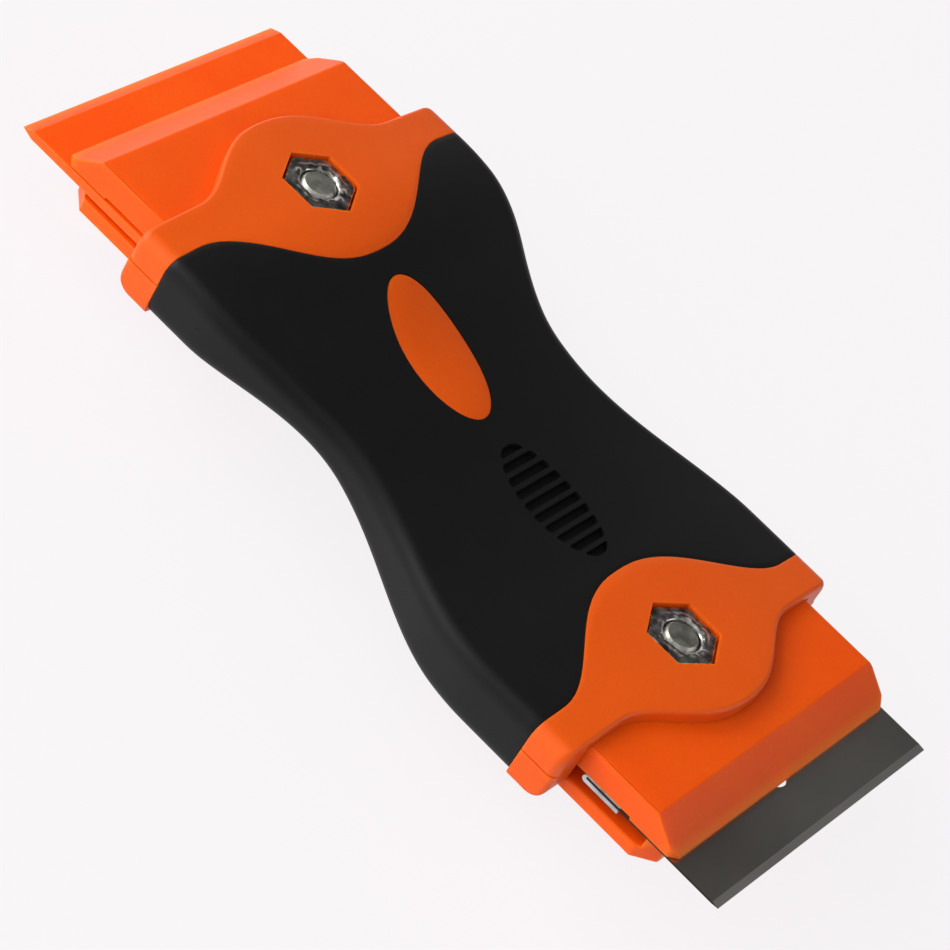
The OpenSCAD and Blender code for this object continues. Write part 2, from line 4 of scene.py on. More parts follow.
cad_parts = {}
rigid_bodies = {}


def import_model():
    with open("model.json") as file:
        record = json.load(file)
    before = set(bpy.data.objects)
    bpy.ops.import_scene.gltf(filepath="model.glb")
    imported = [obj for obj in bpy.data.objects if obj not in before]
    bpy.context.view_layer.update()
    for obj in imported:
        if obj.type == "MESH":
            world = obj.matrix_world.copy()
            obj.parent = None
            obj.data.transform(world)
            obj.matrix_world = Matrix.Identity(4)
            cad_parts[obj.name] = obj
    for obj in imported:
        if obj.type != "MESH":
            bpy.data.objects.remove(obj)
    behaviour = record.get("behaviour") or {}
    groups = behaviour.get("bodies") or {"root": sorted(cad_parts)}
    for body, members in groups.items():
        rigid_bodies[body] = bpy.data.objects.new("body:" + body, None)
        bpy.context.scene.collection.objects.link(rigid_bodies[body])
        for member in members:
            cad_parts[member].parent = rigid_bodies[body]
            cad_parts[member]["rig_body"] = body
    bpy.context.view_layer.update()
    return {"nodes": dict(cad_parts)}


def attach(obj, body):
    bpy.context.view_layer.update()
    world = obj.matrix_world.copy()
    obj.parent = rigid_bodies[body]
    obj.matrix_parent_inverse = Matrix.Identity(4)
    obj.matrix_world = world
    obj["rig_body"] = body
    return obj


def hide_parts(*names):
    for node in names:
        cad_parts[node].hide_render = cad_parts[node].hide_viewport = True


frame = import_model()

# Everything is drawn in mm, square to the blades, and laid down in metres by toolMatrix
metre = 1000
pose = dict(endSpan=58.9, endDrop=9.48, shiftX=-1.0209, restZ=17.619)
lean = math.atan(pose["endDrop"] / pose["endSpan"])
toolMatrix = (Matrix.Translation((pose["shiftX"] / metre, 0, pose["restZ"] / metre))
              @ Matrix.Rotation(-lean, 4, "Y") @ Matrix.Scale(1 / metre, 4))
halfSpan = pose["endSpan"] / 2


def endPlace(side):  # side is -1 at the plastic blade and 1 at the steel blade
    toEnd = Matrix.Translation((side * halfSpan, 0, -side * pose["endDrop"] / 2))
    return toEnd @ Matrix.Diagonal((side, 1, 1, 1))


def linear(hexColour):
    parts = [int(hexColour[i:i + 2], 16) / 255 for i in (1, 3, 5)]
    return [c / 12.92 if c <= 0.04045 else ((c + 0.055) / 1.055) ** 2.4 for c in parts] + [1]


def addNode(tree, kind, settings=None, links=None):
    node = tree.nodes.new(kind)
    for key, value in (settings or {}).items():
        if isinstance(key, int) or key in node.inputs:
            node.inputs[key].default_value = value
        else:
            setattr(node, key, value)
    for key, source in (links or {}).items():
        tree.links.new(source, node.inputs[key])
    return node


def startMaterial(name, values):
    material = bpy.data.materials.new(name)
    material.use_nodes = True
    tree = material.node_tree
    shader = tree.nodes["Principled BSDF"]
    for key, value in values.items():
        shader.inputs[key].default_value = value
    where = addNode(tree, "ShaderNodeTexCoord").outputs["Object"]
    return material, tree, shader, where


def newPiece(name, bm):
    mesh = bpy.data.meshes.new(name)
    bm.to_mesh(mesh)
    bm.free()
    piece = bpy.data.objects.new(name, mesh)
    bpy.context.scene.collection.objects.link(piece)
    return piece


def smoothed(piece, angle):
    piece.data.shade_smooth()
    piece.data.set_sharp_from_angle(angle=math.radians(angle))


def dress(piece, body, material, node):
    piece.data.materials.clear()
    piece.data.materials.append(material)
    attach(piece, body)
    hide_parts(node)


def applyModifiers(piece):
    mesh = bpy.data.meshes.new_from_object(piece.evaluated_get(bpy.context.evaluated_depsgraph_get()))
    piece.modifiers.clear()
    old = piece.data
    piece.data = mesh
    bpy.data.meshes.remove(old)


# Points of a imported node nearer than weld, in metres, and faces flatter than flat, in degrees, are one
nodeClean = dict(weld=2e-7, flat=1.2)


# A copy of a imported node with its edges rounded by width, in mm
def softened(node, name, material, width, segments=3, angle=28, crease=34):
    source = frame["nodes"][node]
    bm = bmesh.new()
    bm.from_mesh(source.data)
    bmesh.ops.remove_doubles(bm, verts=bm.verts, dist=nodeClean["weld"])
    bmesh.ops.dissolve_limit(bm, angle_limit=math.radians(nodeClean["flat"]), verts=bm.verts, edges=bm.edges)
    bmesh.ops.recalc_face_normals(bm, faces=bm.faces)
    piece = newPiece(name, bm)
    smoothed(piece, crease)
    if width:
        edge = piece.modifiers.new("edgeRadius", "BEVEL")
        edge.width, edge.segments = width / metre, segments
        edge.limit_method, edge.angle_limit = "ANGLE", math.radians(angle)
    even = piece.modifiers.new("evenFaces", "WEIGHTED_NORMAL")  # slivers shade as the face beside them
    even.keep_sharp = True
    applyModifiers(piece)
    dress(piece, source["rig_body"], material, node)


# Pattern sizes in mm, the colour of the painted glow in thin walls, and the share of rays that run free
# inside a thick wall and inside a thin one
moulding = dict(driftSize=9, speckSize=0.4, wearSize=3, peelSize=0.6, paintedGlowHex="#FF8014", thick=0.62, thin=0.2)


# Satin moulded polypropylene: even, waxy colour with a soft broad sheen and a faint orange peel
def makeMouldedPolypropylene(name, look):
    material, tree, shader, where = startMaterial(name, {
        "IOR": 1.49, "Specular IOR Level": look["sheen"], "Subsurface Weight": look["glow"],
        "Subsurface Radius": look["reach"], "Subsurface Scale": look["depth"] / metre})
    # slow colour drift of the melt
    drift = addNode(tree, "ShaderNodeTexNoise", {"Scale": metre / moulding["driftSize"], "Detail": 3},
                    {"Vector": where})
    tone = addNode(tree, "ShaderNodeMix",
                   {"data_type": "RGBA", 6: linear(look["deep"]), 7: linear(look["light"])},
                   {0: drift.outputs["Fac"]})
    # specks of pigment, drawn coarse enough to show
    speck = addNode(tree, "ShaderNodeTexNoise", {"Scale": metre / moulding["speckSize"], "Detail": 2},
                    {"Vector": where})
    speckShare = addNode(tree, "ShaderNodeMapRange",
                         {"From Min": 0.3, "From Max": 0.75, "To Min": 0.97, "To Max": 1.02},
                         {"Value": speck.outputs["Fac"]})
    # painted glow: where a wall is thin, the colour is mixed towards a pale yellow-orange, standing in for
    # light that passes through it
    wall = addNode(tree, "ShaderNodeAmbientOcclusion",
                   {"inside": True, "only_local": True, "samples": 6, "Distance": look["thinReach"] / metre})
    thin = addNode(tree, "ShaderNodeMapRange",
                   {"From Min": moulding["thick"], "From Max": moulding["thin"], "To Max": look["paintedGlowShare"]},
                   {"Value": wall.outputs["AO"]})
    tone = addNode(tree, "ShaderNodeMix", {"data_type": "RGBA", 7: linear(moulding["paintedGlowHex"])},
                   {0: thin.outputs[0], 6: tone.outputs[2]})
    colour = addNode(tree, "ShaderNodeHueSaturation", {},
                     {"Color": tone.outputs[2], "Value": speckShare.outputs[0]})
    tree.links.new(colour.outputs[0], shader.inputs["Base Color"])
    # handling wear changes the gloss in soft patches
    wear = addNode(tree, "ShaderNodeTexNoise", {"Scale": metre / moulding["wearSize"], "Detail": 4},
                   {"Vector": where})
    rough = addNode(tree, "ShaderNodeMapRange",
                    {"To Min": look["rough"] - 0.05, "To Max": look["rough"] + 0.07},
                    {"Value": wear.outputs["Fac"]})
    tree.links.new(rough.outputs[0], shader.inputs["Roughness"])
    # orange peel of the mould
    peel = addNode(tree, "ShaderNodeTexNoise", {"Scale": metre / moulding["peelSize"], "Detail": 2},
                   {"Vector": where})
    bump = addNode(tree, "ShaderNodeBump", {"Strength": 0.25, "Distance": 0.00001},
                   {"Height": peel.outputs["Fac"]})
    tree.links.new(bump.outputs[0], shader.inputs["Normal"])
    return material


# glow is the share of light that goes in and comes out again, depth and thinReach are in mm, and the last
# share is how far the thinnest walls are painted towards the pale yellow-orange of the painted glow
shellPolypropylene = makeMouldedPolypropylene("shellPolypropyleneMoulded", dict(
    deep="#DE5208", light="#E65A0C", glow=0.20, depth=1.4, reach=(1.0, 0.5, 0.1), rough=0.42, sheen=0.33,
    thinReach=1.0, paintedGlowShare=0.5))
jawPolypropylene = makeMouldedPolypropylene("jawPolypropyleneMoulded", dict(
    deep="#EA5006", light="#F45E0C", glow=0.6, depth=2.6, reach=(1.0, 0.62, 0.12), rough=0.38, sheen=0.26,
    thinReach=1.5, paintedGlowShare=0.6))
bladeAcetal = makeMouldedPolypropylene("bladeAcetalMoulded", dict(
    deep="#FC5004", light="#FF620C", glow=0.6, depth=1.8, reach=(1.0, 0.55, 0.2), rough=0.32, sheen=0.35,
    thinReach=1.0, paintedGlowShare=0.5))


# Thermoplastic rubber, moulded on a fine spark-eroded texture: nearly black, dry and matt
def makeGripRubber():
    look = dict(deep="#0A0A0A", light="#0E0E0E", driftSize=12, wearSize=5, grain=0.22,
                dust="#8C8C8A", dustGap=7.5, dustReach=0.014)
    material, tree, shader, where = startMaterial("gripRubberOvermoulded", {
        "IOR": 1.45, "Specular IOR Level": 0.36})
    drift = addNode(tree, "ShaderNodeTexNoise", {"Scale": metre / look["driftSize"], "Detail": 3},
                    {"Vector": where})
    tone = addNode(tree, "ShaderNodeMix",
                   {"data_type": "RGBA", 6: linear(look["deep"]), 7: linear(look["light"])},
                   {0: drift.outputs["Fac"]})
    # a few specks of dust, up to 0.2 mm across, where the skin meets the middle of a cell
    dust = addNode(tree, "ShaderNodeTexVoronoi", {"Scale": metre / look["dustGap"], "Randomness": 1.0},
                   {"Vector": where})
    dustShare = addNode(tree, "ShaderNodeMath", {"operation": "LESS_THAN", 1: look["dustReach"]},
                        {0: dust.outputs["Distance"]})
    colour = addNode(tree, "ShaderNodeMix", {"data_type": "RGBA", 7: linear(look["dust"])},
                     {0: dustShare.outputs[0], 6: tone.outputs[2]})
    tree.links.new(colour.outputs[2], shader.inputs["Base Color"])
    # gloss from handling
    wear = addNode(tree, "ShaderNodeTexNoise", {"Scale": metre / look["wearSize"], "Detail": 5},
                   {"Vector": where})
    rough = addNode(tree, "ShaderNodeMapRange", {"To Min": 0.46, "To Max": 0.58},
                    {"Value": wear.outputs["Fac"]})
    tree.links.new(rough.outputs[0], shader.inputs["Roughness"])
    # the eroded grain
    grain = addNode(tree, "ShaderNodeTexNoise", {"Scale": metre / look["grain"], "Detail": 3},
                    {"Vector": where})
    bump = addNode(tree, "ShaderNodeBump", {"Strength": 0.35, "Distance": 0.00002},
                   {"Height": grain.outputs["Fac"]})
    tree.links.new(bump.outputs[0], shader.inputs["Normal"])
    return material


gripRubber = makeGripRubber()


# Bright zinc plate over pressed steel: mirror-like, but dinged and a little grey in random patches
def makeZincPlate(name, look):
    material, tree, shader, where = startMaterial(name, {"Metallic": 1.0})
    stain = addNode(tree, "ShaderNodeTexNoise", {"Scale": metre / look["stain"], "Detail": 5},
                    {"Vector": where})
    stainShare = addNode(tree, "ShaderNodeMapRange", {"From Min": 0.35, "From Max": 0.65},
                         {"Value": stain.outputs["Fac"]})
    tone = addNode(tree, "ShaderNodeMix",
                   {"data_type": "RGBA", 6: linear(look["grey"]), 7: linear(look["bright"])},
                   {0: stainShare.outputs[0]})
    tree.links.new(tone.outputs[2], shader.inputs["Base Color"])
    rough = addNode(tree, "ShaderNodeMapRange",
                    {"To Min": look["rough"] - 0.06, "To Max": look["rough"] + 0.12},
                    {"Value": stain.outputs["Fac"]})
    tree.links.new(rough.outputs[0], shader.inputs["Roughness"])
    dings = addNode(tree, "ShaderNodeTexNoise",
                    {"Scale": metre / look["ding"], "Detail": 4, "Distortion": 0.6}, {"Vector": where})
    bump = addNode(tree, "ShaderNodeBump", {"Strength": look["bump"], "Distance": 0.00012},
                   {"Height": dings.outputs["Fac"]})
    tree.links.new(bump.outputs[0], shader.inputs["Normal"])
    return material


nutZinc = makeZincPlate("nutSteelZincPlated", dict(
    grey="#7A7670", bright="#E2E0DA", rough=0.24, stain=1.2, ding=0.9, bump=0.45))
screwZinc = makeZincPlate("screwSteelZincPlated", dict(
    grey="#9C9C90", bright="#CCCBC0", rough=0.46, stain=1.2, ding=0.8, bump=0.3))


# Ground carbon steel under a film of oil: dark grey, with fine grinding lines along the edge
def makeBladeSteel():
    look = dict(deep="#AAA8A0", light="#BFBDB5", lineGap=0.10, lineLength=6.0, lineShare=0.35, filmSize=14,
                ground="#C4C2BC", groundBelow=0.997, groundRough=0.12, sheared="#37352F", shearedAbove=0.8)
    material, tree, shader, where = startMaterial("bladeSteelGround", {"Metallic": 1.0, "Anisotropic": 0.4})
    # grinding lines, 0.02 mm apart on the real blade and drawn 0.1 mm apart to show
    across, along = metre / look["lineGap"], metre / look["lineLength"]
    stretch = addNode(tree, "ShaderNodeMapping", {"Scale": (across, along, across)}, {"Vector": where})
    lines = addNode(tree, "ShaderNodeTexNoise", {"Scale": 1.0, "Detail": 4}, {"Vector": stretch.outputs[0]})
    film = addNode(tree, "ShaderNodeTexNoise", {"Scale": metre / look["filmSize"], "Detail": 4},
                   {"Vector": where})
    mixed = addNode(tree, "ShaderNodeMath", {"operation": "MULTIPLY_ADD", 1: look["lineShare"]},
                    {0: lines.outputs["Fac"], 2: film.outputs["Fac"]})
    tone = addNode(tree, "ShaderNodeMix",
                   {"data_type": "RGBA", 6: linear(look["deep"]), 7: linear(look["light"])},
                   {0: mixed.outputs[0]})
    # the ground bevel is paler and satin, and its colour is made paler still as a painted highlight of the
    # bright line along the edge: its faces lean away from the flat of the blade
    normal = addNode(tree, "ShaderNodeTexCoord").outputs["Normal"]
    flatWay = toolMatrix.col[2].xyz.normalized()
    flat = addNode(tree, "ShaderNodeVectorMath", {"operation": "DOT_PRODUCT", 1: flatWay}, {0: normal})
    flat = addNode(tree, "ShaderNodeMath", {"operation": "ABSOLUTE"}, {0: flat.outputs["Value"]})
    isBevel = addNode(tree, "ShaderNodeMath", {"operation": "LESS_THAN", 1: look["groundBelow"]},
                      {0: flat.outputs[0]})
    tone = addNode(tree, "ShaderNodeMix", {"data_type": "RGBA", 7: linear(look["ground"])},
                   {0: isBevel.outputs[0], 6: tone.outputs[2]})
    # the short ends are sheared, not ground: dull and dark
    facing = addNode(tree, "ShaderNodeSeparateXYZ", {}, {0: normal})
    sideways = addNode(tree, "ShaderNodeMath", {"operation": "ABSOLUTE"}, {0: facing.outputs[1]})
    isEnd = addNode(tree, "ShaderNodeMath", {"operation": "GREATER_THAN", 1: look["shearedAbove"]},
                    {0: sideways.outputs[0]})
    tone = addNode(tree, "ShaderNodeMix", {"data_type": "RGBA", 7: linear(look["sheared"])},
                   {0: isEnd.outputs[0], 6: tone.outputs[2]})
    tree.links.new(tone.outputs[2], shader.inputs["Base Color"])
    rough = addNode(tree, "ShaderNodeMapRange", {"To Min": 0.26, "To Max": 0.40}, {"Value": mixed.outputs[0]})
    rough = addNode(tree, "ShaderNodeMath", {"operation": "MULTIPLY_ADD", 1: look["groundRough"]},
                    {0: isBevel.outputs[0], 2: rough.outputs[0]})
    tree.links.new(rough.outputs[0], shader.inputs["Roughness"])
    bump = addNode(tree, "ShaderNodeBump", {"Strength": 0.12, "Distance": 0.00001},
                   {"Height": lines.outputs["Fac"]})
    tree.links.new(bump.outputs[0], shader.inputs["Normal"])
    return material


bladeSteel = makeBladeSteel()
spineSteel = makeZincPlate("spineSteelFolded", dict(
    grey="#9A9A9C", bright="#D6D6DA", rough=0.26, stain=3.0, ding=2.2, bump=0.35))


# Glass-filled nylon, moulded: charcoal, with a dry speckled sheen
def makeKnobNylon():
    look = dict(deep="#1E1E1F", light="#2C2C2D", fibre=0.5)  # the fibres' specks are drawn coarse, to show
    material, tree, shader, where = startMaterial("knobNylonMoulded", {"IOR": 1.53})
    fibre = addNode(tree, "ShaderNodeTexNoise", {"Scale": metre / look["fibre"], "Detail": 4},
                    {"Vector": where})
    tone = addNode(tree, "ShaderNodeMix",
                   {"data_type": "RGBA", 6: linear(look["deep"]), 7: linear(look["light"])},
                   {0: fibre.outputs["Fac"]})
    tree.links.new(tone.outputs[2], shader.inputs["Base Color"])
    rough = addNode(tree, "ShaderNodeMapRange", {"To Min": 0.42, "To Max": 0.58},
                    {"Value": fibre.outputs["Fac"]})
    tree.links.new(rough.outputs[0], shader.inputs["Roughness"])
    bump = addNode(tree, "ShaderNodeBump", {"Strength": 0.3, "Distance": 0.00002},
                   {"Height": fibre.outputs["Fac"]})
    tree.links.new(bump.outputs[0], shader.inputs["Normal"])
    return material


knobNylon = makeKnobNylon()
print("materials made")

handle = dict(
    endHalfW=24.0, waistHalfW=18.3, waistShift=3.7, plasticFlare=19.8, steelFlare=25.7, endThick=8.75,
    topCrown=0.95, waistDome=-0.4, underCrown=0.3, edgeR=1.8, roundShare=0.8, topBend=10.1,
    topRunPlastic=17.8, topRunSteel=29.3, bendBlend=8.0, underBend=1.6, underRun=18.8, seamShare=0.52,
    shoulder=3.75, bulge=9.45, borderFull=1.22, bulgeRun=15.2, gripSide=0.7, gripBack=9.4, gripRun=19.5,
    earR=2.0, earEdgeR=0.6, earCornerR=1.0, edgeFillet=0.5, jointGap=0.03, jointEdge=0.07, gripT=1.2,
    gripEdge=0.12, roofT=1.75, roomHalfW=20.1, roomBack=8.6, roomRise=0.4, tailStep=1.0, crease=30)
# How far each half is drawn in at the seam, and the share of the flank's height that this takes
seamRelief = dict(upperShell=(0.25, 0.08), lowerShell=(0.25, 0.03))
# How finely the skin is drawn: steps along it, round an edge and across the crown
meshSteps = dict(shellEnd=14, shellMiddle=48, grip=84, fillet=6, longEdge=7, crown=22)
meshClean = dict(drawnWeld=0.0004, cutWeld=0.001, sliver=0.0005, sameX=0.0001)  # mm
cutterReach = dict(tip=20, under=-30, over=10, pocket=6)  # mm, well outside the handle
arcMiddle = 0.3  # where a quarter circle's middle stands, as a share of its radius from either side


def bell(u):
    return (1 + math.cos(math.pi * u)) / 2 if abs(u) < 1 else 0


def hump(u):
    return bell(abs(u) ** handle["borderFull"])


def waist(x):
    far = x + handle["waistShift"]
    return bell(far / (handle["plasticFlare"] if far < 0 else handle["steelFlare"]))


def halfWidth(x):
    return handle["endHalfW"] - (handle["endHalfW"] - handle["waistHalfW"]) * waist(x)


def fall(u):
    return math.cos(math.pi / 2 * (1 + min(1, max(-1, u))))


def topZ(x):
    far = x + handle["topBend"]
    turned = (1 - fall(far / handle["bendBlend"])) / 2
    run = handle["topRunPlastic"] + (handle["topRunSteel"] - handle["topRunPlastic"]) * turned
    return pose["endDrop"] / 2 * fall(far / run) + handle["waistDome"] * waist(x)


def underZ(x):
    return pose["endDrop"] / 2 * fall((x + handle["underBend"]) / handle["underRun"]) - handle["endThick"]


def seamZ(x):
    return topZ(x) - (topZ(x) - underZ(x)) * handle["seamShare"]


def outerBorder(y):
    out = handle["bulge"] - handle["shoulder"]
    return halfSpan + handle["shoulder"] + out * hump(y / handle["bulgeRun"])


def innerBorder(y):
    back = handle["gripBack"] - handle["gripSide"]
    return halfSpan - handle["gripSide"] - back * hump(y / handle["gripRun"])


def footZ(x):  # the ears' foot is rounded, seen from the side
    past = abs(x) - (halfSpan + handle["shoulder"] - handle["earR"])
    if past <= 0:
        return underZ(x)
    return underZ(x) + handle["earR"] - math.sqrt(max(0, handle["earR"] ** 2 - past ** 2))


# Stops across the skin: flank height share, then angle round the long edge, then share of the half width
flankStops = [("flank", t) for t in (0, 0.03, 0.06, 0.1, 0.15, 0.22, 0.3, 0.5, 0.75)]
arcStops = [("arc", math.radians(90 * i / meshSteps["longEdge"])) for i in range(meshSteps["longEdge"])]
crownShares = [i / meshSteps["crown"] for i in range(meshSteps["crown"])] + [0.972, 0.984, 0.993, 1]
stops = ([(kind, t, -1) for kind, t in flankStops + arcStops]
         + [("crown", t, -1) for t in reversed(crownShares)] + [("crown", t, 1) for t in crownShares[1:]]
         + [(kind, t, 1) for kind, t in reversed(flankStops + arcStops)])


# A point of the handle's skin at x and a stop, pushed in by inset
def skinPoint(x, stop, up, inset, edge=handle["edgeR"]):
    kind, t, side = stop
    rim, foot = (topZ(x), seamZ(x)) if up else (-footZ(x), -seamZ(x))
    crown = handle["topCrown"] + handle["waistDome"] * waist(x) if up else handle["underCrown"]
    w = halfWidth(x)
    r = min(edge, handle["roundShare"] * (rim - crown - foot))
    if kind == "flank":
        y, z, inY, inZ = w, foot + t * (rim - crown - r - foot), 1, 0
    elif kind == "arc":
        inY, inZ = math.cos(t), math.sin(t)
        y, z = w - r * (1 - inY), rim - crown - r * (1 - inZ)
    else:
        y, z, inY, inZ = t * (w - r), rim - crown * t * t, 0, 1
    y, z = y - inset * inY, max(foot, z - inset * inZ)
    return Vector((x, side * y, z if up else -z))


# Joins an outer and an inner sheet of points into one closed body
def addSheets(bm, outer, inner):
    rowN, colN = len(outer), len(outer[0])
    grids = [[[bm.verts.new(p) for p in row] for row in sheet] for sheet in (outer, inner)]
    for grid in grids:
        for i in range(rowN - 1):
            for j in range(colN - 1):
                bm.faces.new((grid[i][j], grid[i][j + 1], grid[i + 1][j + 1], grid[i + 1][j]))
    top, low = grids
    for i in range(rowN - 1):
        for j in (0, colN - 1):
            bm.faces.new((top[i][j], top[i + 1][j], low[i + 1][j], low[i][j]))
    for j in range(colN - 1):
        for i in (0, rowN - 1):
            bm.faces.new((top[i][j], top[i][j + 1], low[i][j + 1], low[i][j]))


# Closes a sheet of points towards the seam: a wall under each end, and a floor from side to side
def addSeamFloor(bm, outer, feet):
    grid = [[bm.verts.new(p) for p in row] for row in outer]
    rowN, colN = len(outer), len(outer[0])
    for i in range(rowN - 1):
        for j in range(colN - 1):
            bm.faces.new((grid[i][j], grid[i][j + 1], grid[i + 1][j + 1], grid[i + 1][j]))
    left = outer[0]
    for j in (0, colN - 1):
        low = [grid[0][j]] + [bm.verts.new(p) for p in feet[j][1:-1]] + [grid[-1][j]]
        for i in range(rowN - 1):
            corners = [grid[i][j], grid[i + 1][j], low[i + 1], low[i]]
            bm.faces.new(list(dict.fromkeys(corners)))
        bm.faces.new(low)
    # where the skin steps in at one x, the floor turns the corner there
    isStep = [any(0 <= k < colN and abs(left[k].x - left[j].x) < meshClean["sameX"]
                  and abs(left[k].y) < abs(left[j].y) for k in (j - 1, j + 1)) for j in range(colN)]
    rungs = [j for j in range(colN) if not isStep[j]]
    for a, b in zip(rungs, rungs[1:]):
        bm.faces.new(grid[0][a:b + 1] + grid[-1][a:b + 1][::-1])


# The x of a border at a stop: y follows from x and the border from y, and three turns settle them
def borderX(border, side, stop, up):
    x = side * halfSpan
    for turn in range(3):
        x = side * border(skinPoint(x, stop, up, 0).y)
    return x


def spread(a, b, n):
    return [a + (b - a) * i / n for i in range(n + 1)]


# The radius of the ears' upright corners, no larger than the long edge that runs into them
def cornerR(up):
    return min(handle["earCornerR"], handle["edgeR"] if up else handle["earEdgeR"])


# (x, inset) from the plastic end to the steel end along one stop of a shell, under the grip in between
def shellColumns(stop, up):
    kind, t = stop[:2]  # the top edge has its fillet, the ears' upright corner a larger one
    turned = {"flank": 1, "arc": math.cos(t), "crown": 0}[kind]
    f = handle["edgeFillet"] + (cornerR(up) - handle["edgeFillet"]) * turned
    joint, under = handle["jointEdge"], handle["gripT"]
    line = {}
    for side in (-1, 1):
        tip, grip = borderX(outerBorder, side, stop, up), borderX(innerBorder, side, stop, up)
        angles = [math.radians(90 - 90 * i / meshSteps["fillet"]) for i in range(meshSteps["fillet"] + 1)]
        curve = [(tip - side * f * (1 - math.sin(a)), f * (1 - math.cos(a))) for a in angles]
        flat = [(x, 0) for x in spread(tip - side * f, grip + side * joint, meshSteps["shellEnd"])[1:]]
        rounded = (grip + side * joint * arcMiddle, joint * arcMiddle)
        line[side] = curve + flat + [rounded, (grip, joint), (grip, under)]
    middle = [(x, under) for x in spread(line[-1][-1][0], line[1][-1][0], meshSteps["shellMiddle"])[1:-1]]
    return line[-1] + middle + line[1][::-1]


def gripColumns(stop, up):
    left, right = [borderX(innerBorder, side, stop, up) - side * handle["jointGap"] for side in (-1, 1)]
    r = handle["gripEdge"]
    return ([(left, r), (left + arcMiddle * r, arcMiddle * r), (left + r, 0)]
            + [(x, 0) for x in spread(left + r, right - r, meshSteps["grip"])[1:-1]]
            + [(right - r, 0), (right - arcMiddle * r, arcMiddle * r), (right, r)])


def cutWith(piece, bm, operation="DIFFERENCE"):
    bmesh.ops.recalc_face_normals(bm, faces=bm.faces)
    cutter = newPiece("cutter", bm)
    cut = piece.modifiers.new("cut", "BOOLEAN")
    cut.operation, cut.solver, cut.object = operation, "EXACT", cutter
    applyModifiers(piece)
    mesh = cutter.data
    bpy.data.objects.remove(cutter)
    bpy.data.meshes.remove(mesh)


def addPrism(bm, outline, low, high, place=Matrix.Identity(4)):
    rings = [[bm.verts.new(place @ Vector((x, y, z))) for x, y in outline] for z in (low, high)]
    n = len(outline)
    for i in range(n):
        bm.faces.new((rings[0][i], rings[0][(i + 1) % n], rings[1][(i + 1) % n], rings[1][i]))
    bm.faces.new(rings[0][::-1])
    bm.faces.new(rings[1])


def oval(x, y, a, b, n):
    turns = [2 * math.pi * i / n for i in range(n)]
    return [(x + a * math.cos(turn), y + b * math.sin(turn)) for turn in turns]


def hexagon(flats):
    return oval(0, 0, flats / math.sqrt(3), flats / math.sqrt(3), 6)


# Cuts the rooms for the two jaws out of one half of the handle
def cutJawRooms(piece):
    w, roof, tip = handle["roomHalfW"], -handle["roofT"], cutterReach["tip"]
    for side in (-1, 1):
        for start, high in ((-handle["roomBack"], roof - handle["tailStep"]), (handle["roomRise"], roof)):
            bm = bmesh.new()
            addPrism(bm, [(start, -w), (tip, -w), (tip, w), (start, w)], cutterReach["under"], high,
                     endPlace(side))
            cutWith(piece, bm)


# One half of a shell, closed along the seam, or of the grip over it
def halfBody(name, up):
    isShell = name.endswith("Shell")
    columnsOf = shellColumns if isShell else gripColumns
    depth, height = seamRelief.get(name, (0, 1))
    outer, inner, feet = [], [], {}
    for stop in stops:
        outerRow, innerRow = [], []
        columns = columnsOf(stop, up)
        for j, (x, d) in enumerate(columns):
            onSkin = d < handle["gripT"]
            relief = depth * (1 - min(1, stop[1] / height)) ** 2 if stop[0] == "flank" and onSkin else 0
            edge = handle["earEdgeR"] if isShell and onSkin and not up else handle["edgeR"]
            p = skinPoint(x, stop, up, d + relief, edge)
            outerRow.append(p)
            if not isShell:
                innerRow.append(skinPoint(x, stop, up, handle["gripT"] - handle["jointGap"]))
            elif j in (0, len(columns) - 1):  # no wider than the outline at the seam
                reach = min(abs(p.y), halfWidth(x) - cornerR(up) - depth)
                feet.setdefault(j, []).append(Vector((p.x, stop[2] * reach, seamZ(x))))
        outer.append(outerRow)
        inner.append(innerRow)
    bm = bmesh.new()
    if isShell:
        addSeamFloor(bm, outer, feet)
    else:
        addSheets(bm, outer, inner)
    bmesh.ops.remove_doubles(bm, verts=bm.verts, dist=meshClean["drawnWeld"])
    bmesh.ops.dissolve_degenerate(bm, edges=bm.edges, dist=meshClean["drawnWeld"])
    bmesh.ops.recalc_face_normals(bm, faces=bm.faces)
    piece = newPiece(name, bm)
    cutJawRooms(piece)
    bm = bmesh.new()  # the cuts leave slivers, which would shade as dark lines
    bm.from_mesh(piece.data)
    bmesh.ops.remove_doubles(bm, verts=bm.verts, dist=meshClean["cutWeld"])
    bmesh.ops.dissolve_degenerate(bm, edges=bm.edges, dist=meshClean["sliver"])
    bm.to_mesh(piece.data)
    bm.free()
    return piece


def layDown(piece, material, node):
    piece.data.transform(toolMatrix)
    smoothed(piece, handle["crease"])
    dress(piece, "handle", material, node)


pocket = dict(flats=7.8, depth=5.15)
pad = dict(x=-8.8942, halfL=8.30, halfW=4.5, gap=0.03, rise=0.14, droop=0.2, edge=0.14, rootDepth=1.5,
           crownRings=(0, 0.3, 0.5, 0.65, 0.78, 0.88), turnN=72)
fixing = dict(x=17.5, headR=2.65, headH=1.3, sink=0.6, turnN=48)


# The window pad's rings as share of its oval, inset and drop: over the crown, round the edge, to the root
def padProfile():
    crown = [(share, 0, pad["droop"] * share ** 4) for share in pad["crownRings"]]
    turns = [math.radians(a) for a in range(0, 91, 18)]
    edge = []
    for drop in [pad["edge"] * (1 - math.cos(a)) for a in turns] + [pad["rootDepth"]]:
        level = max(0, pad["edge"] - drop)
        edge.append((1, pad["edge"] - math.sqrt(pad["edge"] ** 2 - level ** 2), drop + pad["droop"]))
    return crown + edge


